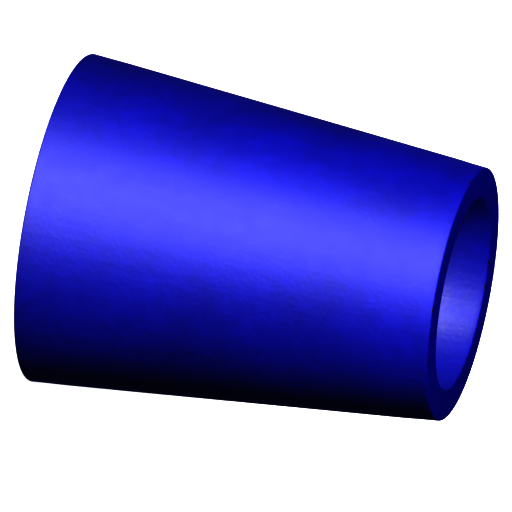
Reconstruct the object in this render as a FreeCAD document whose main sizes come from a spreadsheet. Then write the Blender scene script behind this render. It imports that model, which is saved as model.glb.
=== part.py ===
import FreeCAD, Part
import os
from math import pi, sqrt

import Sketcher

# Eccentric pipe reducer, NPS 8 x 6, heavy wall, both ends cut square.
# Two pressed half shells are joined by two long double-V seam welds.
#
# Own frame, millimetres: the large end stands on z = 0 with its centre at the origin,
# +Z runs along the pipe to the small end, and the straight side of the wall faces -Y.
# The small end is centred at y = -offset, so the straight side stays parallel to +Z.

# Driving dimensions: alias in the sheet, value, what it is.
DIMENSIONS = [
    ("large_outer_diameter", 219.1, "outside diameter of the large end, NPS 8"),
    ("small_outer_diameter", 168.3, "outside diameter of the small end, NPS 6"),
    ("wall", 20.62, "wall thickness, the same at both ends"),
    ("length", 279.4, "end face to end face"),
    ("root_gap", 2.0, "gap between the two root lands of a seam"),
    ("root_land", 2.0, "flat root face in the middle of the wall"),
    ("bevel_angle", 30.0, "slope of each groove face away from the radius, degrees"),
    ("edge_break", 0.8, "chamfer on the sharp edges of both end faces"),
    ("bead_height", 1.5, "how far the inside bead stands proud of the bore"),
    ("bead_half_width", 5.6, "half the width of the inside bead at its toes"),
    ("toe_depth", 0.6, "how deep the toes of the bead start in the weld metal"),
    ("bead_root_depth", 3.0, "how deep the bead profile reaches into the weld metal"),
    ("bead_root_half_width", 3.5, "half the width of the bead profile at that depth"),
    ("dressed_length", 18.0, "length at each end where the bead is ground flush"),
    ("run_out", 14.0, "length over which the bead rises to its full height"),
    ("sunk", 0.2, "how far the crown lies below the bore where the run-out starts"),
]

# Values worked out in the sheet from the ones above: alias, formula, what it is.
DERIVED = [
    (
        "offset",
        "=(large_outer_diameter - small_outer_diameter) / 2",
        "how far the small end is moved so that one side stays straight",
    ),
    ("large_outer_radius", "=large_outer_diameter / 2", "outside radius, large end"),
    ("small_outer_radius", "=small_outer_diameter / 2", "outside radius, small end"),
    ("large_bore_radius", "=large_outer_diameter / 2 - wall", "bore radius, large end"),
    ("small_bore_radius", "=small_outer_diameter / 2 - wall", "bore radius, small end"),
    ("half_gap", "=root_gap / 2", "half the root gap"),
    (
        "face_half_width",
        "=root_gap / 2 + (wall - root_land) / 2 * tan(bevel_angle * 1 deg)",
        "half the groove's width where it opens at the wall's surface",
    ),
]

# Heights where the wall has a profile, from the large end up: name, height formula, and
# how much the edge break takes off both surfaces there.
WALL_SECTIONS = [
    ("large_face", "=0", "edge_break"),
    ("large_rim", "=edge_break", "0"),
    ("small_rim", "=length - edge_break", "0"),
    ("small_face", "=length", "edge_break"),
]

# Heights where the inside bead has a profile: name, height formula, and how far its
# crown stands proud of the bore there.
BEAD_SECTIONS = [
    ("bead_start", "=dressed_length", "-sunk"),
    ("bead_risen", "=dressed_length + run_out", "bead_height"),
    ("bead_falling", "=length - dressed_length - run_out", "bead_height"),
    ("bead_stop", "=length - dressed_length", "-sunk"),
]

doc = FreeCAD.newDocument("eccentric_reducer")


def between(surface, section):
    """Formula for a surface's radius at a section's height, on the straight taper."""
    large, small = f"large_{surface}_radius", f"small_{surface}_radius"
    return f"={large} + ({small} - {large}) * {section}_height / length"


def section_rows(section, height):
    """Sheet rows that every profile needs: how high it is and how far it is moved."""
    return [
        (f"{section}_height", height, f"height of the profile '{section}'"),
        (
            f"{section}_shift",
            f"=offset * {section}_height / length",
            "how far the pipe's centre has moved there",
        ),
    ]


def fill_sheet():
    """Write every dimension and formula into one spreadsheet, a row each."""
    sheet = doc.addObject("Spreadsheet::Sheet", "Sheet")
    rows = [(alias, str(value), note) for alias, value, note in DIMENSIONS] + DERIVED
    for section, height, cut in WALL_SECTIONS:
        rows += section_rows(section, height)
        for surface, sign in (("outer", "-"), ("bore", "+")):
            formula = f"{between(surface, section)} {sign} {cut}"
            rows.append((f"{section}_{surface}_radius", formula, f"{surface} radius there"))
    for section, height, proud in BEAD_SECTIONS:
        rows += section_rows(section, height)
        rise = f"{section}_rise"
        curve = f"=(bead_half_width ^ 2 + {rise} ^ 2) / (2 * {rise})"
        rows += [
            (f"{section}_bore_radius", between("bore", section), "bore radius there"),
            (rise, f"=toe_depth + {proud}", "crown above the toes there"),
            (f"{section}_crown_radius", curve, "radius of the crown's curve there"),
        ]
    for row, (alias, content, note) in enumerate(rows, start=1):
        sheet.set(f"A{row}", note)
        sheet.set(f"B{row}", content)
        sheet.setAlias(f"B{row}", alias)
    doc.recompute()
    return sheet


sheet = fill_sheet()


def value(alias):
    """The number that the sheet holds under this alias."""
    held = getattr(sheet, alias)
    return float(getattr(held, "Value", held))


def section_sketch(body, section):
    """A sketch parallel to the body's XY plane, centred on the pipe at a section."""
    sketch = body.newObject("Sketcher::SketchObject", f"{body.Label}_{section}")
    floor = next(f for f in body.Origin.OriginFeatures if f.Role == "XY_Plane")
    sketch.AttachmentSupport = [(floor, "")]
    sketch.MapMode = "FlatFace"
    sketch.setExpression("AttachmentOffset.Base.y", f"-Sheet.{section}_shift * 1 mm")
    sketch.setExpression("AttachmentOffset.Base.z", f"Sheet.{section}_height * 1 mm")
    return sketch


def corner_key(corner):
    """A corner's place in the sketch, rounded so that two ends which meet there agree."""
    places = 4
    return round(corner[0], places), round(corner[1], places)


class Outline:
    """A closed run of lines and arcs in a sketch, sized from the sheet."""

    def __init__(self, sketch):
        self.sketch = sketch
        self.ends = {}
        self.corners = {}

    def line(self, start, end):
        geometry = Part.LineSegment(FreeCAD.Vector(*start), FreeCAD.Vector(*end))
        index = self.sketch.addGeometry(geometry, False)
        self.ends[index] = ((start, 1), (end, 2))
        return index

    def arc(self, centre, radius, first, last):
        """An arc run anticlockwise from one corner to another about its centre."""
        middle = FreeCAD.Vector(*centre)
        angles = []
        for corner in (first, last):
            arm = FreeCAD.Vector(*corner) - middle
            turn = FreeCAD.Vector(1, 0, 0).getAngle(arm)
            angles.append(turn if arm.y >= 0 else 2 * pi - turn)
        if angles[1] < angles[0]:
            angles[1] += 2 * pi
        circle = Part.Circle(middle, FreeCAD.Vector(0, 0, 1), radius)
        index = self.sketch.addGeometry(Part.ArcOfCircle(circle, *angles), False)
        self.ends[index] = ((first, 1), (last, 2))
        return index

    def join(self):
        """Make every pair of ends that share a corner coincident."""
        for index, ends in self.ends.items():
            for corner, end in ends:
                key = corner_key(corner)
                if key in self.corners:
                    self.limit("Coincident", *self.corners[key], index, end)
                else:
                    self.corners[key] = (index, end)

    def limit(self, kind, *arguments, to=None):
        """Add one constraint; 'to' names the sheet alias or formula that drives it."""
        number = self.sketch.addConstraint(Sketcher.Constraint(kind, *arguments))
        if to:
            self.sketch.setExpression(f"Constraints[{number}]", f"({to}) * 1 mm")

    def reach(self, corner, kind, to):
        """Drive one corner's distance from the sketch's origin along X or Y."""
        index, end = self.corners[corner_key(corner)]
        along = corner[0] if kind == "DistanceX" else corner[1]
        points = (-1, 1, index, end) if along > 0 else (index, end, -1, 1)
        self.limit(kind, *points, abs(along), to=to)


def groove_corners(section, side, half):
    """Corners of one groove face in a profile: outside, land outside, land inside, bore.

    side is +1 for the seam at +X and -1 for the one at -X; half is +1 for the face
    that belongs to the sloped half shell and -1 for the straight one.
    """
    outer = value(f"{section}_outer_radius")
    bore = value(f"{section}_bore_radius")
    middle = (outer + bore) / 2
    wide = value("face_half_width")
    narrow = value("half_gap")
    land = value("root_land") / 2
    return [
        (side * sqrt(outer**2 - wide**2), half * wide, 0),
        (side * (middle + land), half * narrow, 0),
        (side * (middle - land), half * narrow, 0),
        (side * sqrt(bore**2 - wide**2), half * wide, 0),
    ]


def size_groove_face(outline, section, corners):
    """Tie the four corners of a groove face to the sheet."""
    outside, land_outside, land_inside, bore = corners
    middle = f"(Sheet.{section}_outer_radius + Sheet.{section}_bore_radius) / 2"
    outline.reach(outside, "DistanceY", "Sheet.face_half_width")
    outline.reach(bore, "DistanceY", "Sheet.face_half_width")
    for corner, sign in ((land_outside, "+"), (land_inside, "-")):
        outline.reach(corner, "DistanceY", "Sheet.half_gap")
        outline.reach(corner, "DistanceX", f"{middle} {sign} Sheet.root_land / 2")


def wall_profile(body, section, first, last):
    """Profile of one wall piece: two groove faces joined by an outer and a bore arc.

    first and last are the (side, half) pairs of the groove faces where the arcs, run
    anticlockwise, start and stop.
    """
    sketch = section_sketch(body, section)
    outline = Outline(sketch)
    faces = [groove_corners(section, *pair) for pair in (first, last)]
    for corners in faces:
        for start, stop in zip(corners, corners[1:]):
            outline.line(start, stop)
    arcs = []
    for surface, corner in (("outer", 0), ("bore", -1)):
        radius = value(f"{section}_{surface}_radius")
        index = outline.arc((0, 0, 0), radius, faces[0][corner], faces[1][corner])
        arcs.append((index, radius, surface))
    outline.join()
    for index, radius, surface in arcs:
        outline.limit("Coincident", index, 3, -1, 1)
        outline.limit("Radius", index, radius, to=f"Sheet.{section}_{surface}_radius")
    for corners in faces:
        size_groove_face(outline, section, corners)
    return sketch


def bead_profile(body, section, side):
    """Profile of the inside bead: a crown arc on a trapezoid sunk in the weld metal."""
    bore = value(f"{section}_bore_radius")
    toe = side * (bore + value("toe_depth"))
    root = side * (bore + value("bead_root_depth"))
    wide = value("bead_half_width")
    narrow = value("bead_root_half_width")
    crown_radius = value(f"{section}_crown_radius")
    crown = bore + value("toe_depth") - value(f"{section}_rise")

    sketch = section_sketch(body, section)
    outline = Outline(sketch)
    toes = [(toe, side * wide, 0), (toe, -side * wide, 0)]
    roots = [(root, side * narrow, 0), (root, -side * narrow, 0)]
    arc = outline.arc((side * (crown + crown_radius), 0, 0), crown_radius, *toes)
    outline.line(toes[1], roots[1])
    outline.line(roots[1], roots[0])
    outline.line(roots[0], toes[0])
    outline.join()
    for corners, depth, width in (
        (toes, "toe_depth", "bead_half_width"),
        (roots, "bead_root_depth", "bead_root_half_width"),
    ):
        for corner in corners:
            outline.reach(corner, "DistanceX", f"Sheet.{section}_bore_radius + Sheet.{depth}")
            outline.reach(corner, "DistanceY", f"Sheet.{width}")
    outline.limit("Radius", arc, crown_radius, to=f"Sheet.{section}_crown_radius")
    return sketch


def loft(body, name, sketches):
    """A loft with straight rulings through sketches, lowest first."""
    doc.recompute()
    feature = body.newObject("PartDesign::AdditiveLoft", f"{body.Label}_{name}")
    feature.Profile = sketches[0]
    feature.Sections = sketches[1:]
    feature.Ruled = True
    for sketch in sketches:
        sketch.Visibility = False
    doc.recompute()
    return feature


def wall_piece(name, first, last):
    """A body that fills the wall from one groove face to the other."""
    body = doc.addObject("PartDesign::Body", name)
    body.Label = name
    sketches = [wall_profile(body, section, first, last) for section, _, _ in WALL_SECTIONS]
    loft(body, "wall", sketches)
    return body


def half_shell(name, half):
    """One pressed half of the wall; half is -1 on the straight side, +1 on the sloped."""
    return wall_piece(name, (half, half), (-half, half))


def seam_weld(name, side):
    """One seam weld: flush with the wall, with a raised bead on the bore side."""
    body = wall_piece(name, (side, -side), (side, side))
    flush = body.Tip.Shape.Volume
    sketches = [bead_profile(body, section, side) for section, _, _ in BEAD_SECTIONS]
    loft(body, "inside_bead", sketches)
    assert body.Tip.Shape.Volume > flush, f"{name}: the inside bead added nothing"
    return body


pieces = [
    half_shell("straight_half_shell", -1),
    half_shell("sloped_half_shell", 1),
    seam_weld("left_seam_weld", -1),
    seam_weld("right_seam_weld", 1),
]
doc.recompute()

for item in doc.Objects:
    bad = [word for word in item.State if word in ("Invalid", "Error")]
    assert not bad, f"{item.Label}: {bad}"
    if item.isDerivedFrom("Sketcher::SketchObject"):
        assert item.solve() == 0, f"{item.Label}: the sketch does not solve"
        assert item.FullyConstrained, f"{item.Label}: the sketch is not fully constrained"

os.makedirs("parts", exist_ok=True)
for body in pieces:
    shape = body.Shape
    assert not shape.isNull() and shape.isValid(), f"{body.Label}: bad shape"
    assert len(shape.Solids) == 1, f"{body.Label}: {len(shape.Solids)} solids"
    shape.exportStep(f"parts/{body.Label}.step")
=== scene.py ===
from math import cos, pi, radians, sin, tan

import bpy
from mathutils import Matrix, Vector


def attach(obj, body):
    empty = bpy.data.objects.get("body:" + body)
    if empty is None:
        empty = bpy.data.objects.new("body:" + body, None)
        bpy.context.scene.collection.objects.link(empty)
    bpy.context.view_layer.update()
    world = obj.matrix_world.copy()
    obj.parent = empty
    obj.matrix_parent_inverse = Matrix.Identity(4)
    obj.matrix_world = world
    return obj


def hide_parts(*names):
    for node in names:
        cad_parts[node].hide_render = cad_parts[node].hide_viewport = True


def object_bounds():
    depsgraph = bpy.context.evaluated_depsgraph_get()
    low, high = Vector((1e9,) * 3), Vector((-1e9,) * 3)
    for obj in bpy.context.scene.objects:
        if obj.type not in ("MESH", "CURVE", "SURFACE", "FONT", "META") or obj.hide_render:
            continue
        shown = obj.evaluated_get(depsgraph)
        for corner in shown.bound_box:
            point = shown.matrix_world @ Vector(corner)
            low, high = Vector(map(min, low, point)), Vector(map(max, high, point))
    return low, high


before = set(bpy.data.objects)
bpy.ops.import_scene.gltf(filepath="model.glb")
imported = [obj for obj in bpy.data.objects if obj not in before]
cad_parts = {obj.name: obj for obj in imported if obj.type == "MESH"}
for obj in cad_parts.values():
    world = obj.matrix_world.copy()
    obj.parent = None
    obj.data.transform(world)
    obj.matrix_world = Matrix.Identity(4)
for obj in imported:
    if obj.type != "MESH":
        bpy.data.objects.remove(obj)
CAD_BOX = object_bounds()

MM = 0.001

# The reducer's sizes, in metres. It stands on its large end, and its straight side faces
# -Y. The end radii are those of the full cone, before the rims are rounded, and the skin
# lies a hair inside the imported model's, so that its marks stay within the model's box.
BOX_LOW, BOX_HIGH = CAD_BOX
LENGTH = BOX_HIGH.z - BOX_LOW.z
SKIN_INSET = 0.03 * MM
OFFSET = 25.4 * MM
WALL = 20.62 * MM
LARGE_RADIUS = -BOX_LOW.y - SKIN_INSET
SMALL_RADIUS = LARGE_RADIUS - OFFSET
RIM_RADIUS = 0.8 * MM
HALF_GAP = 1.0 * MM
LAND = 2.0 * MM
GROOVE_SLOPE = tan(radians(30))
BEAD_HEIGHT = 1.5 * MM

# Widths of the uneven patterns in the metal itself.
PRESS_WAVE = 75 * MM
BEAD_SWELL = 24 * MM
BEAD_WANDER = 9 * MM

# An edge that turns by more than this is drawn sharp.
SHARP_ANGLE = radians(26)

# Rows of faces in each piece's mesh.
RIM_ROWS = 3
SLOPE_ROWS = 3
LAND_ROWS = 2
WALL_ROWS = 2 * RIM_ROWS + 2 * SLOPE_ROWS + LAND_ROWS


def linear(code):
    """An sRGB hex colour as linear RGBA."""
    parts = [int(code[i : i + 2], 16) / 255 for i in (0, 2, 4)]
    return [p / 12.92 if p <= 0.04045 else ((p + 0.055) / 1.055) ** 2.4 for p in parts] + [1.0]


def add(tree, kind, inputs=None, out=0, **settings):
    """Add one node with its settings, values and links; gives one of its outputs."""
    made = tree.nodes.new(kind)
    for name, setting in settings.items():
        setattr(made, name, setting)
    for key, content in (inputs or {}).items():
        if isinstance(content, bpy.types.NodeSocket):
            tree.links.new(content, made.inputs[key])
        else:
            made.inputs[key].default_value = content
    return made.outputs[out] if made.outputs else made


# ---------------------------------------------------------------- the wall's pieces

WALL_INPUTS = [
    # name, socket type, value
    ("Length", "NodeSocketFloat", LENGTH),
    ("Large Radius", "NodeSocketFloat", LARGE_RADIUS),
    ("Small Radius", "NodeSocketFloat", SMALL_RADIUS),
    ("Wall", "NodeSocketFloat", WALL),
    ("Rim Radius", "NodeSocketFloat", RIM_RADIUS),
    ("Half Gap", "NodeSocketFloat", HALF_GAP),
    ("Land", "NodeSocketFloat", LAND),
    ("Groove Slope", "NodeSocketFloat", GROOVE_SLOPE),
    ("Middle Angle", "NodeSocketFloat", 0.0),
    ("Plate Span", "NodeSocketFloat", 0.0),
    ("Groove Side", "NodeSocketFloat", 1.0),
    ("Rows Across", "NodeSocketInt", 20),
    ("Rows Along", "NodeSocketInt", 560),
    ("Press Waviness", "NodeSocketFloat", 0.10 * MM),
    ("Toe Dip", "NodeSocketFloat", 0.12 * MM),
    ("Toe Width", "NodeSocketFloat", 3.2 * MM),
    ("Plain End", "NodeSocketFloat", 5 * MM),
    ("Full Marks From", "NodeSocketFloat", 26 * MM),
    ("Outside Crown", "NodeSocketFloat", 0.0),
    ("Bead Height", "NodeSocketFloat", 0.0),
    ("Bead Ripple", "NodeSocketFloat", 0.0),
    ("Ripple Pitch", "NodeSocketFloat", 3.4 * MM),
    ("Ripple Bow", "NodeSocketFloat", 3.4 * MM),
    ("Ripple Wander", "NodeSocketFloat", 2.4 * MM),
    ("Dressed Length", "NodeSocketFloat", 18 * MM),
    ("Run Out", "NodeSocketFloat", 14 * MM),
    ("Surface", "NodeSocketMaterial", None),
]


def wall_tree():
    """A block of metal bent to the oblique cone, between two groove faces.

    The block's rows run across the piece, through the wall and along the pipe. Each
    point is moved to its place on the cone, its rims are rounded, and then the marks of
    making are added: the press's waviness, the ground crown and the rippled bead.
    """
    tree = bpy.data.node_groups.new("oblique_cone_wall", "GeometryNodeTree")
    for name, kind, start in WALL_INPUTS:
        item = tree.interface.new_socket(name=name, in_out="INPUT", socket_type=kind)
        if start is not None:
            item.default_value = start
    tree.interface.new_socket(name="Geometry", in_out="OUTPUT", socket_type="NodeSocketGeometry")
    given = tree.nodes.new("NodeGroupInput").outputs

    math, ranged = "ShaderNodeMath", "ShaderNodeMapRange"
    rows_along = add(tree, math, {0: given["Rows Along"], 1: 2.0 * RIM_ROWS}, operation="ADD")
    block = add(
        tree,
        "GeometryNodeMeshCube",
        {
            "Vertices X": add(tree, math, {0: given["Rows Across"], 1: 1.0}, operation="ADD"),
            "Vertices Y": WALL_ROWS + 1,
            "Vertices Z": add(tree, math, {0: rows_along, 1: 1.0}, operation="ADD"),
        },
    )
    place = tree.nodes.new("ShaderNodeSeparateXYZ")
    tree.links.new(add(tree, "GeometryNodeInputPosition"), place.inputs[0])
    across = add(tree, math, {0: place.outputs["X"], 1: 2.0}, operation="MULTIPLY")
    through = add(tree, math, {0: place.outputs["Y"], 1: 0.5}, operation="ADD")
    along = add(tree, math, {0: place.outputs["Z"], 1: 0.5}, operation="ADD")

    def spaced(fraction, steps):
        """Real distance at a fraction of the rows; steps are (from, to, distance)."""
        total = 0.0
        for start, stop, distance in steps:
            piece = add(
                tree,
                ranged,
                {"Value": fraction, "From Min": start, "From Max": stop, "To Max": distance},
            )
            total = add(tree, math, {0: total, 1: piece}, operation="ADD")
        return total

    # Along the pipe: fine rows for each rim, even rows between them.
    rim_share = add(tree, math, {0: float(RIM_ROWS), 1: rows_along}, operation="DIVIDE")
    rim_left = add(tree, math, {0: 1.0, 1: rim_share}, operation="SUBTRACT")
    rims = add(tree, math, {0: given["Rim Radius"], 1: 2.0}, operation="MULTIPLY")
    body_length = add(tree, math, {0: given["Length"], 1: rims}, operation="SUBTRACT")
    height = spaced(
        along,
        [
            (0.0, rim_share, given["Rim Radius"]),
            (rim_share, rim_left, body_length),
            (rim_left, 1.0, given["Rim Radius"]),
        ],
    )

    # Through the wall: rim, groove slope, land, groove slope, rim.
    slope_depth = add(tree, math, {0: given["Wall"], 1: given["Land"]}, operation="SUBTRACT")
    slope_depth = add(tree, math, {0: slope_depth, 1: 0.5}, operation="MULTIPLY")
    slope_depth = add(
        tree, math, {0: slope_depth, 1: given["Rim Radius"]}, operation="SUBTRACT"
    )
    layers = [
        (RIM_ROWS, given["Rim Radius"]),
        (SLOPE_ROWS, slope_depth),
        (LAND_ROWS, given["Land"]),
        (SLOPE_ROWS, slope_depth),
        (RIM_ROWS, given["Rim Radius"]),
    ]
    steps, done = [], 0
    for rows, distance in layers:
        steps.append((done / WALL_ROWS, (done + rows) / WALL_ROWS, distance))
        done += rows
    depth = spaced(through, steps)

    # Rounded rims: a point further from the rim's centre than its radius is drawn in. The
    # least reach keeps the division safe at the centre itself.
    least_reach = 1e-6
    flat = add(tree, "ShaderNodeCombineXYZ", {"X": depth, "Y": height})
    low = add(
        tree, "ShaderNodeCombineXYZ", {"X": given["Rim Radius"], "Y": given["Rim Radius"]}
    )
    far = add(tree, "ShaderNodeCombineXYZ", {"X": given["Wall"], "Y": given["Length"]})
    far = add(tree, "ShaderNodeVectorMath", {0: far, 1: low}, operation="SUBTRACT")
    centre = add(tree, "ShaderNodeVectorMath", {0: flat, 1: low}, operation="MAXIMUM")
    centre = add(tree, "ShaderNodeVectorMath", {0: centre, 1: far}, operation="MINIMUM")
    arm = add(tree, "ShaderNodeVectorMath", {0: flat, 1: centre}, operation="SUBTRACT")
    reach = add(tree, "ShaderNodeVectorMath", {0: arm}, out="Value", operation="LENGTH")
    reach = add(tree, math, {0: reach, 1: least_reach}, operation="MAXIMUM")
    pull = add(tree, math, {0: given["Rim Radius"], 1: reach}, operation="DIVIDE")
    pull = add(tree, math, {0: pull, 1: 1.0}, operation="MINIMUM")
    arm = add(tree, "ShaderNodeVectorMath", {0: arm, "Scale": pull}, operation="SCALE")
    rounded = tree.nodes.new("ShaderNodeSeparateXYZ")
    tree.links.new(
        add(tree, "ShaderNodeVectorMath", {0: centre, 1: arm}, operation="ADD"),
        rounded.inputs[0],
    )
    depth, height = rounded.outputs["X"], rounded.outputs["Y"]

    # On the cone: radius and sideways shift at this height, then the angle.
    share = add(tree, math, {0: height, 1: given["Length"]}, operation="DIVIDE")
    offset = add(
        tree, math, {0: given["Large Radius"], 1: given["Small Radius"]}, operation="SUBTRACT"
    )
    shift = add(tree, math, {0: offset, 1: share}, operation="MULTIPLY")
    radius = add(tree, math, {0: given["Large Radius"], 1: shift}, operation="SUBTRACT")
    radius = add(tree, math, {0: radius, 1: depth}, operation="SUBTRACT")
    groove = add(tree, math, {0: given["Wall"], 1: 0.5}, operation="MULTIPLY")
    groove = add(tree, math, {0: depth, 1: groove}, operation="SUBTRACT")
    groove = add(tree, math, {0: groove}, operation="ABSOLUTE")
    land_half = add(tree, math, {0: given["Land"], 1: 0.5}, operation="MULTIPLY")
    groove = add(tree, math, {0: groove, 1: land_half}, operation="SUBTRACT")
    groove = add(tree, math, {0: groove, 1: 0.0}, operation="MAXIMUM")
    groove = add(
        tree,
        math,
        {0: groove, 1: given["Groove Slope"], 2: given["Half Gap"]},
        operation="MULTIPLY_ADD",
    )
    groove = add(tree, math, {0: groove, 1: radius}, operation="DIVIDE")
    groove = add(tree, math, {0: groove}, operation="ARCSINE")
    span = add(
        tree,
        math,
        {0: groove, 1: given["Groove Side"], 2: given["Plate Span"]},
        operation="MULTIPLY_ADD",
    )
    angle = add(
        tree, math, {0: across, 1: span, 2: given["Middle Angle"]}, operation="MULTIPLY_ADD"
    )
    outward = add(
        tree,
        "ShaderNodeCombineXYZ",
        {
            "X": add(tree, math, {0: angle}, operation="COSINE"),
            "Y": add(tree, math, {0: angle}, operation="SINE"),
        },
    )
    spot = add(tree, "ShaderNodeVectorMath", {0: outward, "Scale": radius}, operation="SCALE")
    carried = add(
        tree,
        "ShaderNodeCombineXYZ",
        {"Y": add(tree, math, {0: shift, 1: -1.0}, operation="MULTIPLY"), "Z": height},
    )
    spot = add(tree, "ShaderNodeVectorMath", {0: spot, 1: carried}, operation="ADD")

    # How far each point is from a rim, from an end and from the seam's edge.
    from_top = add(tree, math, {0: given["Length"], 1: height}, operation="SUBTRACT")
    end_gap = add(tree, math, {0: height, 1: from_top}, operation="MINIMUM")
    from_bore = add(tree, math, {0: given["Wall"], 1: depth}, operation="SUBTRACT")
    skin_gap = add(tree, math, {0: depth, 1: from_bore}, operation="MINIMUM")
    rim_gap = add(
        tree,
        "ShaderNodeVectorMath",
        {0: add(tree, "ShaderNodeCombineXYZ", {"X": end_gap, "Y": skin_gap})},
        out="Value",
        operation="LENGTH",
    )
    side = add(tree, math, {0: across}, operation="ABSOLUTE")
    seam_gap = add(tree, math, {0: 1.0, 1: side}, operation="SUBTRACT")
    seam_gap = add(tree, math, {0: seam_gap, 1: span}, operation="MULTIPLY")
    seam_gap = add(tree, math, {0: seam_gap, 1: radius}, operation="MULTIPLY")

    # Which skin a point is on: 1 on it, and 0 deeper than this share of the rim's radius.
    skin_share = 0.4
    skin_depth = add(
        tree, math, {0: given["Rim Radius"], 1: skin_share}, operation="MULTIPLY"
    )
    outside, inside = (
        add(
            tree,
            ranged,
            {"Value": gap, "From Max": skin_depth, "To Min": 1.0, "To Max": 0.0},
        )
        for gap in (depth, from_bore)
    )
    smooth = dict(interpolation_type="SMOOTHSTEP")
    away_from_ends = add(
        tree,
        ranged,
        {"Value": end_gap, "From Min": given["Plain End"], "From Max": given["Full Marks From"]},
        **smooth,
    )

    # Marks of making, as distances out from the pipe's centre.
    wave = add(
        tree,
        "ShaderNodeTexNoise",
        {"Vector": spot, "Scale": 1 / PRESS_WAVE, "Detail": 1.0, "Roughness": 0.4},
    )
    wave = add(tree, math, {0: wave, 1: given["Press Waviness"]}, operation="MULTIPLY")
    toe = add(
        tree,
        ranged,
        {
            "Value": seam_gap,
            "From Max": given["Toe Width"],
            "To Min": given["Toe Dip"],
            "To Max": 0.0,
        },
        **smooth,
    )
    sunk = add(tree, math, {0: wave, 1: toe}, operation="ADD")
    dome = add(tree, math, {0: across, 1: 2.0}, operation="POWER")
    dome = add(tree, math, {0: 1.0, 1: dome}, operation="SUBTRACT")
    crown = add(tree, math, {0: dome, 1: given["Outside Crown"]}, operation="MULTIPLY")
    crown = add(tree, math, {0: crown, 1: sunk}, operation="SUBTRACT")
    crown = add(tree, math, {0: crown, 1: outside}, operation="MULTIPLY")

    # The inside bead: a dome with crescent ripples, ground away near both ends. A power
    # under 1 makes the ripples and the dome fuller.
    ripple_power, dome_power = 0.55, 0.75
    wander = add(
        tree,
        "ShaderNodeTexNoise",
        {"Vector": spot, "Scale": 1 / BEAD_WANDER, "Detail": 2.0},
    )
    wander = add(
        tree, math, {0: wander, 1: given["Ripple Wander"], 2: height}, operation="MULTIPLY_ADD"
    )
    bow = add(tree, math, {0: dome, 1: given["Ripple Bow"]}, operation="MULTIPLY")
    bow = add(tree, math, {0: wander, 1: bow}, operation="SUBTRACT")
    bow = add(tree, math, {0: bow, 1: given["Ripple Pitch"]}, operation="DIVIDE")
    bow = add(tree, math, {0: bow}, operation="FRACT")
    ripple = add(tree, math, {0: bow, 1: ripple_power}, operation="POWER")
    ripple = add(tree, math, {0: ripple, 1: given["Bead Ripple"]}, operation="MULTIPLY")
    swell = add(
        tree,
        "ShaderNodeTexNoise",
        {"Vector": spot, "Scale": 1 / BEAD_SWELL, "Detail": 1.0},
    )
    swell = add(
        tree, ranged, {"Value": swell, "From Min": 0.3, "From Max": 0.7, "To Min": 0.8}
    )
    run_end = add(
        tree, math, {0: given["Dressed Length"], 1: given["Run Out"]}, operation="ADD"
    )
    rise = add(
        tree,
        ranged,
        {"Value": end_gap, "From Min": given["Dressed Length"], "From Max": run_end},
        **smooth,
    )
    bead = add(tree, math, {0: dome, 1: dome_power}, operation="POWER")
    tall = add(
        tree, math, {0: given["Bead Height"], 1: given["Bead Ripple"]}, operation="SUBTRACT"
    )
    tall = add(tree, math, {0: tall, 1: ripple}, operation="ADD")
    bead = add(tree, math, {0: bead, 1: tall}, operation="MULTIPLY")
    bead = add(tree, math, {0: bead, 1: swell}, operation="MULTIPLY")
    bead = add(tree, math, {0: bead, 1: rise}, operation="MULTIPLY")
    bead = add(tree, math, {0: bead, 1: inside}, operation="MULTIPLY")

    push = add(tree, math, {0: crown, 1: away_from_ends}, operation="MULTIPLY")
    push = add(tree, math, {0: push, 1: bead}, operation="SUBTRACT")
    push = add(tree, "ShaderNodeVectorMath", {0: outward, "Scale": push}, operation="SCALE")
    spot = add(tree, "ShaderNodeVectorMath", {0: spot, 1: push}, operation="ADD")

    # The distances, and the angle round the pipe, are kept as attributes before the
    # points move.
    kept = (("rim_gap", rim_gap), ("depth", depth), ("seam_gap", seam_gap), ("turn", angle))
    for name, distance in kept:
        block = add(
            tree,
            "GeometryNodeStoreNamedAttribute",
            {"Geometry": block, "Name": name, "Value": distance},
            data_type="FLOAT",
            domain="POINT",
        )
    block = add(tree, "GeometryNodeSetPosition", {"Geometry": block, "Position": spot})
    bend = add(tree, "GeometryNodeInputMeshEdgeAngle")
    sharp = add(tree, math, {0: bend, 1: SHARP_ANGLE}, operation="GREATER_THAN")
    block = add(tree, "GeometryNodeSetShadeSmooth", {"Geometry": block, "Shade Smooth": True})
    block = add(
        tree,
        "GeometryNodeSetShadeSmooth",
        {"Geometry": block, "Selection": sharp, "Shade Smooth": False},
        domain="EDGE",
    )
    block = add(tree, "GeometryNodeRealizeInstances", {"Geometry": block})
    block = add(
        tree, "GeometryNodeSetMaterial", {"Geometry": block, "Material": given["Surface"]}
    )
    add(tree, "NodeGroupOutput", {"Geometry": block})
    return tree


def grow(name, tree, values):
    """Run a geometry tree with these named inputs and keep its result as a plain mesh."""
    maker = bpy.data.objects.new("maker", bpy.data.meshes.new("maker"))
    bpy.context.scene.collection.objects.link(maker)
    modifier = maker.modifiers.new("maker", "NODES")
    modifier.node_group = tree
    for item in tree.interface.items_tree:
        if item.in_out == "INPUT" and item.name in values:
            modifier[item.identifier] = values[item.name]
    graph = bpy.context.evaluated_depsgraph_get()
    mesh = bpy.data.meshes.new_from_object(
        maker.evaluated_get(graph), preserve_all_data_layers=True, depsgraph=graph
    )
    maker.modifiers.clear()
    bpy.data.objects.remove(maker)
    mesh.name = name
    piece = bpy.data.objects.new(name, mesh)
    bpy.context.scene.collection.objects.link(piece)
    return piece


# ---------------------------------------------------------------- finishes

# Widths of the enamel's patterns, in metres.
CLOUD = 80 * MM
MOTTLE = 9 * MM
POOL = 2.4 * MM
CHIP = 6 * MM
PEEL = 3 * MM
RING_PITCH = 2.2 * MM

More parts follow.
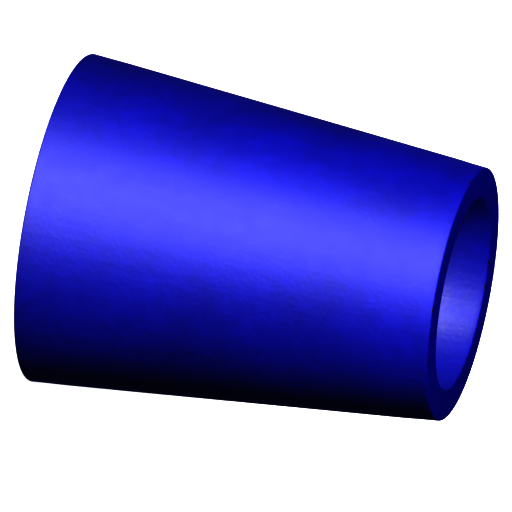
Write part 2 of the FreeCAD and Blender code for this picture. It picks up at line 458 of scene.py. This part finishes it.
# How high each pattern stands, in metres.
PEEL_HEIGHT = 0.2 * MM
RING_HEIGHT = 0.012 * MM
CHIP_DEPTH = 0.08 * MM

# Chips are likeliest this near a rim, and past the second distance there are none.
CHIP_NEAR = 0.5 * MM
CHIP_FAR = 2.6 * MM

# The enamel's roughness where it is glossiest and dullest, and what bare steel adds.
GLOSSY = 0.44
DULL = 0.54
BARE_ADDS = 0.1

# Marks along the pipe, as (width, length, height) in metres.
PRESS_MARKS = (7 * MM, 400 * MM, 0.24 * MM)
BELT_MARKS = (1.2 * MM, 24 * MM, 0.04 * MM)

BARE_STEEL = "8C8F94"


def enamel(name, light, deep, marks_size):
    """Alkyd enamel, sprayed over steel.

    It gives a semi-gloss deep blue skin, a little uneven in tone, with a fine orange peel,
    chipped at the rims and thick in the toes of the seams. Through it show the marks of
    the press or of the grinding belt, whose size is given. light and deep are the colours
    of the thin and the thick coat.
    """
    made = bpy.data.materials.new(name)
    made.use_nodes = True
    tree = made.node_tree
    tree.nodes.clear()
    math, ranged, noise = "ShaderNodeMath", "ShaderNodeMapRange", "ShaderNodeTexNoise"
    spot = add(tree, "ShaderNodeTexCoord", out="Object")
    rim_gap, depth, seam_gap, turn = (
        add(tree, "ShaderNodeAttribute", out="Fac", attribute_name=kept)
        for kept in ("rim_gap", "depth", "seam_gap", "turn")
    )

    # Tone: wide clouds where the coat is thicker, a fine mottling over them, and a darker
    # line where the coat has run together along a seam.
    cloud = add(tree, noise, {"Vector": spot, "Scale": 1 / CLOUD, "Detail": 3.0})
    mottle = add(tree, noise, {"Vector": spot, "Scale": 1 / MOTTLE, "Detail": 4.0})
    tone = add(tree, math, {0: mottle, 1: 0.5, 2: cloud}, operation="MULTIPLY_ADD")
    tone = add(tree, ranged, {"Value": tone, "From Min": 0.5, "From Max": 1.0})
    pooled = add(
        tree,
        ranged,
        {"Value": seam_gap, "From Max": POOL, "To Min": 0.0, "To Max": 1.0},
        interpolation_type="SMOOTHSTEP",
    )
    tone = add(tree, math, {0: tone, 1: pooled}, operation="MULTIPLY")
    paint = add(
        tree,
        "ShaderNodeMix",
        {"Factor": tone, 6: linear(deep), 7: linear(light)},
        out=2,
        data_type="RGBA",
    )

    # Wear: near the rims the coat is chipped to the steel in a few places.
    chips = add(
        tree,
        noise,
        {"Vector": spot, "Scale": 1 / CHIP, "Detail": 5.0, "Roughness": 0.6},
    )
    edge = add(
        tree,
        ranged,
        {
            "Value": rim_gap,
            "From Min": CHIP_NEAR,
            "From Max": CHIP_FAR,
            "To Min": 1.0,
            "To Max": 0.0,
        },
    )
    bare = add(tree, math, {0: edge, 1: chips}, operation="MULTIPLY")
    bare = add(tree, ranged, {"Value": bare, "From Min": 0.575, "From Max": 0.60})
    colour = add(
        tree,
        "ShaderNodeMix",
        {"Factor": bare, 6: paint, 7: linear(BARE_STEEL)},
        out=2,
        data_type="RGBA",
    )

    # Roughness: the gloss varies with the mottling, and bare steel is duller.
    gloss = add(
        tree,
        ranged,
        {"Value": mottle, "From Min": 0.3, "From Max": 0.7, "To Min": GLOSSY, "To Max": DULL},
    )
    dull = add(tree, math, {0: bare, 1: BARE_ADDS, 2: gloss}, operation="MULTIPLY_ADD")

    # Relief: orange peel, lathe rings on the end faces and marks along the pipe. The real
    # rings are 0.3 mm apart, too fine to show, so they are drawn further apart.
    peel = add(
        tree,
        noise,
        {"Vector": spot, "Scale": 1 / PEEL, "Detail": 1.5, "Roughness": 0.45},
    )
    relief = add(tree, math, {0: peel, 1: PEEL_HEIGHT}, operation="MULTIPLY")
    rings = add(tree, math, {0: depth, 1: 2 * pi / RING_PITCH}, operation="MULTIPLY")
    rings = add(tree, math, {0: rings}, operation="SINE")
    relief = add(
        tree, math, {0: rings, 1: RING_HEIGHT, 2: relief}, operation="MULTIPLY_ADD"
    )
    width, length, height = marks_size
    place = tree.nodes.new("ShaderNodeSeparateXYZ")
    tree.links.new(spot, place.inputs[0])
    along = place.outputs["Z"]
    marks = add(
        tree,
        "ShaderNodeCombineXYZ",
        {
            "X": add(tree, math, {0: turn, 1: SMALL_RADIUS / width}, operation="MULTIPLY"),
            "Y": add(tree, math, {0: along, 1: 1 / length}, operation="MULTIPLY"),
        },
    )
    marks = add(tree, noise, {"Vector": marks, "Scale": 1.0, "Detail": 3.0})
    relief = add(tree, math, {0: marks, 1: height, 2: relief}, operation="MULTIPLY_ADD")
    relief = add(tree, math, {0: bare, 1: -CHIP_DEPTH, 2: relief}, operation="MULTIPLY_ADD")
    bump = add(tree, "ShaderNodeBump", {"Height": relief, "Strength": 1.0, "Distance": 1.0})
    # The clear skin's IOR is above an alkyd's usual 1.5, for a broad, even gleam.
    shader = add(
        tree,
        "ShaderNodeBsdfPrincipled",
        {
            "Base Color": colour,
            "IOR": 1.55,
            "Coat Weight": 1.0,
            "Coat IOR": 1.8,
            "Coat Roughness": 0.56,
            "Metallic": bare,
            "Roughness": dull,
            "Normal": bump,
        },
    )
    add(tree, "ShaderNodeOutputMaterial", {"Surface": shader})
    return made


# ---------------------------------------------------------------- make the pieces

plate_enamel = enamel("blue_enamel_on_pressed_plate", "0C0CD2", "0606B4", PRESS_MARKS)
weld_enamel = enamel("blue_enamel_on_dressed_weld", "0C0CCE", "0505AC", BELT_MARKS)

wall = wall_tree()
PLATE = {
    "Plate Span": pi / 2,
    "Groove Side": -1.0,
    "Rows Across": 120,
    "Rows Along": 72,
    "Surface": plate_enamel,
}
WELD = {
    "Plate Span": 0.0,
    "Groove Side": 1.0,
    "Rows Across": 20,
    "Rows Along": 560,
    "Outside Crown": 0.3 * MM,
    "Bead Height": BEAD_HEIGHT,
    "Bead Ripple": 0.35 * MM,
    "Surface": weld_enamel,
}
PIECES = [
    # name, CAD node, slot, angle of its middle, sizes
    ("straight_half", "straight_half_shell", "painted_plate", -pi / 2, PLATE),
    ("sloped_half", "sloped_half_shell", "painted_plate", pi / 2, PLATE),
    ("left_seam", "left_seam_weld", "painted_weld", pi, WELD),
    ("right_seam", "right_seam_weld", "painted_weld", 0.0, WELD),
]
for name, node, slot, middle, sizes in PIECES:
    piece = grow(name, wall, {**sizes, "Middle Angle": middle})
    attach(piece, "root")
    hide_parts(node)

# ---------------------------------------------------------------- stage, light, camera

CENTRE = Vector((0, -OFFSET / 2, LENGTH / 2))

# How far above the floor the camera looks from, and how far downhill the pipe runs in
# its view.
CAMERA_RISE = radians(12.64)
CAMERA_ROLL = radians(10.85)

# The lens and the sensor are in millimetres, the rest in metres. The view is this wide
# at the reducer, and its middle is this far right of and below the large end's centre.
LENS = 1600.0
SENSOR = 36.0
VIEW_WIDTH = 335.2 * MM
VIEW_RIGHT = 127.0 * MM
VIEW_DOWN = 25.2 * MM

SOFTBOXES = [
    # name, angle round the pipe and above the floor in degrees, distance, width and
    # height in metres, watts, the part of the finish that it lights
    ("key_softbox", 20, 26, 2.6, (0.9, 0.9), 104, "diffuse"),
    ("strip_softbox", 20, -14, 2.4, (2.9, 1.8), 86, "glossy"),
    ("back_left_softbox", 155, 2, 2.4, (1.0, 1.0), 45, "diffuse"),
    ("back_right_softbox", 195, 2, 2.4, (1.0, 1.0), 50, "diffuse"),
]

# The bore lamp's place, the point that it faces, and its other settings.
BORE_LAMP = Vector((-36 * MM, -58 * MM, 170 * MM))
BORE_LAMP_FACES = Vector((14 * MM, 40 * MM, 255 * MM))
BORE_LAMP_CONE = radians(80)
BORE_LAMP_RADIUS = 18 * MM
BORE_LAMP_WATTS = 0.64

FLOOR_COLOUR = "F2F2F2"
FLOOR_HALF = 60.0
FLOOR_GLOW = 0.9
SURROUND_LIGHT = 0.02


def view_axes():
    """The camera's right, up and back directions.

    It looks along +Y and down, and is rolled so that the pipe lies across the view, its
    small end to the right and lower than its large one.
    """
    back = Vector((0, -cos(CAMERA_RISE), sin(CAMERA_RISE)))
    pipe = Vector((0, sin(CAMERA_RISE), cos(CAMERA_RISE)))
    side = Vector((1, 0, 0))
    level, drop = cos(CAMERA_ROLL), sin(CAMERA_ROLL)
    return level * pipe - drop * side, -level * side - drop * pipe, back


def camera():
    """A very long lens from far off, so that the outline hardly converges."""
    right, up, back = view_axes()
    data = bpy.data.cameras.new("camera")
    data.lens = LENS
    data.sensor_width = SENSOR
    data.clip_start, data.clip_end = 0.1, 100
    made = bpy.data.objects.new("camera", data)
    aim = right * VIEW_RIGHT - up * VIEW_DOWN + back * CENTRE.dot(back)
    distance = LENS / SENSOR * VIEW_WIDTH
    made.matrix_world = Matrix.Translation(aim + back * distance) @ Matrix(
        (right, up, back)
    ).transposed().to_4x4()
    bpy.context.scene.collection.objects.link(made)
    bpy.context.scene.camera = made


def softbox(name, around, tilt, distance, size, power, part):
    """A flat soft light that faces the reducer, hidden from the camera.

    around is its angle round the pipe from the straight side towards -X. It lights only
    the diffuse or the glossy part of the finish.
    """
    data = bpy.data.lights.new(name, "AREA")
    data.shape = "RECTANGLE"
    data.size, data.size_y = size
    data.energy = power
    made = bpy.data.objects.new(name, data)
    turn, rise = radians(around), radians(tilt)
    way = Vector((-sin(turn) * cos(rise), -cos(turn) * cos(rise), sin(rise)))
    made.location = CENTRE + way * distance
    made.rotation_mode = "QUATERNION"
    made.rotation_quaternion = way.to_track_quat("Z", "Y")
    made.visible_camera = False
    made.visible_glossy = part == "glossy"
    made.visible_diffuse = part == "diffuse"
    bpy.context.scene.collection.objects.link(made)


def bore_lamp():
    """A small lamp inside the bore, near its straight side, which puts a gleam on the
    wall across from it."""
    data = bpy.data.lights.new("bore_lamp", "SPOT")
    data.spot_size = BORE_LAMP_CONE
    data.spot_blend = 1.0
    data.shadow_soft_size = BORE_LAMP_RADIUS
    data.energy = BORE_LAMP_WATTS
    made = bpy.data.objects.new("bore_lamp", data)
    made.location = BORE_LAMP
    made.rotation_mode = "QUATERNION"
    made.rotation_quaternion = (BORE_LAMP_FACES - BORE_LAMP).to_track_quat("-Z", "Y")
    made.visible_camera = False
    made.visible_diffuse = False
    bpy.context.scene.collection.objects.link(made)


def floor():
    """A matt white floor with a glow of its own, which casts no light or shadow."""
    mesh = bpy.data.meshes.new("floor")
    low, high = -FLOOR_HALF, FLOOR_HALF
    mesh.from_pydata(
        [(low, low, 0), (high, low, 0), (high, high, 0), (low, high, 0)], [], [(0, 1, 2, 3)]
    )
    made = bpy.data.objects.new("floor", mesh)
    bpy.context.scene.collection.objects.link(made)
    pale = bpy.data.materials.new("matt_white_backdrop")
    pale.use_nodes = True
    shader = pale.node_tree.nodes["Principled BSDF"]
    shader.inputs["Base Color"].default_value = linear(FLOOR_COLOUR)
    shader.inputs["Roughness"].default_value = 0.9
    shader.inputs["Specular IOR Level"].default_value = 0.0
    shader.inputs["Emission Color"].default_value = (1, 1, 1, 1)
    shader.inputs["Emission Strength"].default_value = FLOOR_GLOW
    mesh.materials.append(pale)
    made.visible_diffuse = False
    made.visible_glossy = False
    made.visible_shadow = False


def sky():
    """A white surround that lights the reducer only a little."""
    world = bpy.data.worlds.new("surround")
    bpy.context.scene.world = world
    world.use_nodes = True
    tree = world.node_tree
    tree.nodes.clear()
    white = (1, 1, 1, 1)
    dim = add(tree, "ShaderNodeBackground", {"Color": white, "Strength": SURROUND_LIGHT})
    bright = add(tree, "ShaderNodeBackground", {"Color": white, "Strength": 1.0})
    seen = add(tree, "ShaderNodeLightPath", out="Is Camera Ray")
    mixed = add(tree, "ShaderNodeMixShader", {0: seen, 1: dim, 2: bright})
    add(tree, "ShaderNodeOutputWorld", {"Surface": mixed})


camera()
for settings in SOFTBOXES:
    softbox(*settings)
bore_lamp()
floor()
sky()

# A gamma under 1 darkens the half tones, so that the shading falls off more steeply.
view = bpy.context.scene.view_settings
view.view_transform = "Standard"
view.gamma = 0.5
